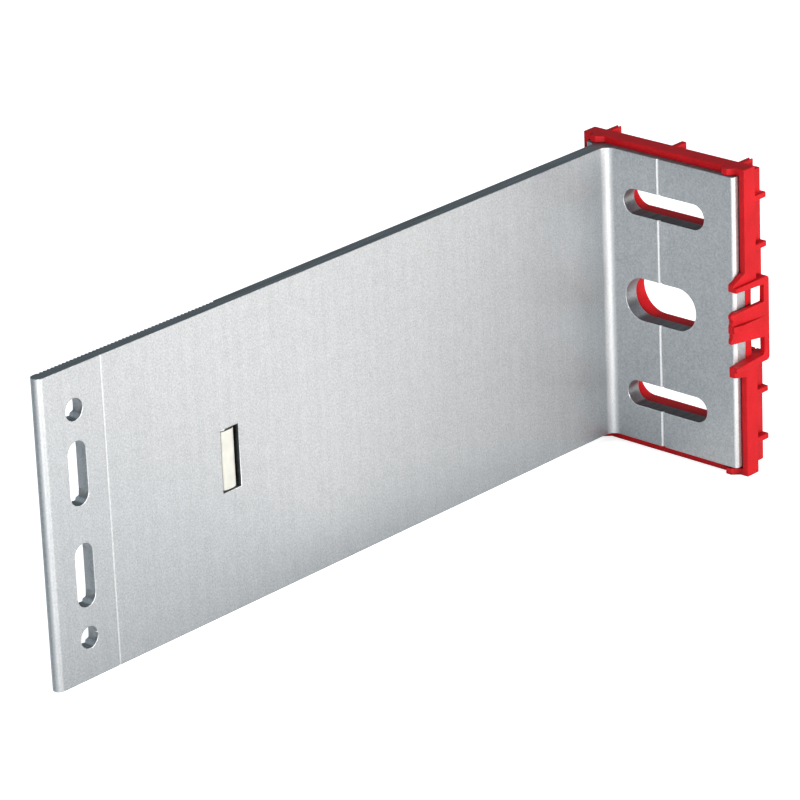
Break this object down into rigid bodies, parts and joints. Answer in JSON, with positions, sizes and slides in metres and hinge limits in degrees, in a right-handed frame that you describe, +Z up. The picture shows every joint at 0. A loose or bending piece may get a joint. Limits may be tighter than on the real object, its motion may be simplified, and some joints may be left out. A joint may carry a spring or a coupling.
{
  "type": "cladding bracket",
  "caption": "Angle wall bracket for ventilated cladding, with a clip-on thermal isolator on its base flange and a holding spring in its leg.",
  "frame": {"origin": "on the wall, behind the middle of the flange's middle anchor slot", "axes": "+X along the wall from the leg to the flange's far end, +Y into the wall, +Z up along the extrusion"},
  "size_m": [0.0508, 0.2011, 0.0792],
  "materials": {
    "mill_aluminium": "extruded mill finish, fine grain, sawn ends",
    "red_plastic": "moulded, satin",
    "coated_spring_steel": "smooth pale coating"
  },
  "bodies": {
    "root": {"bracket": "mill_aluminium", "thermal_isolator": "red_plastic", "holding_spring": "coated_spring_steel"}
  },
  "joints": []
}
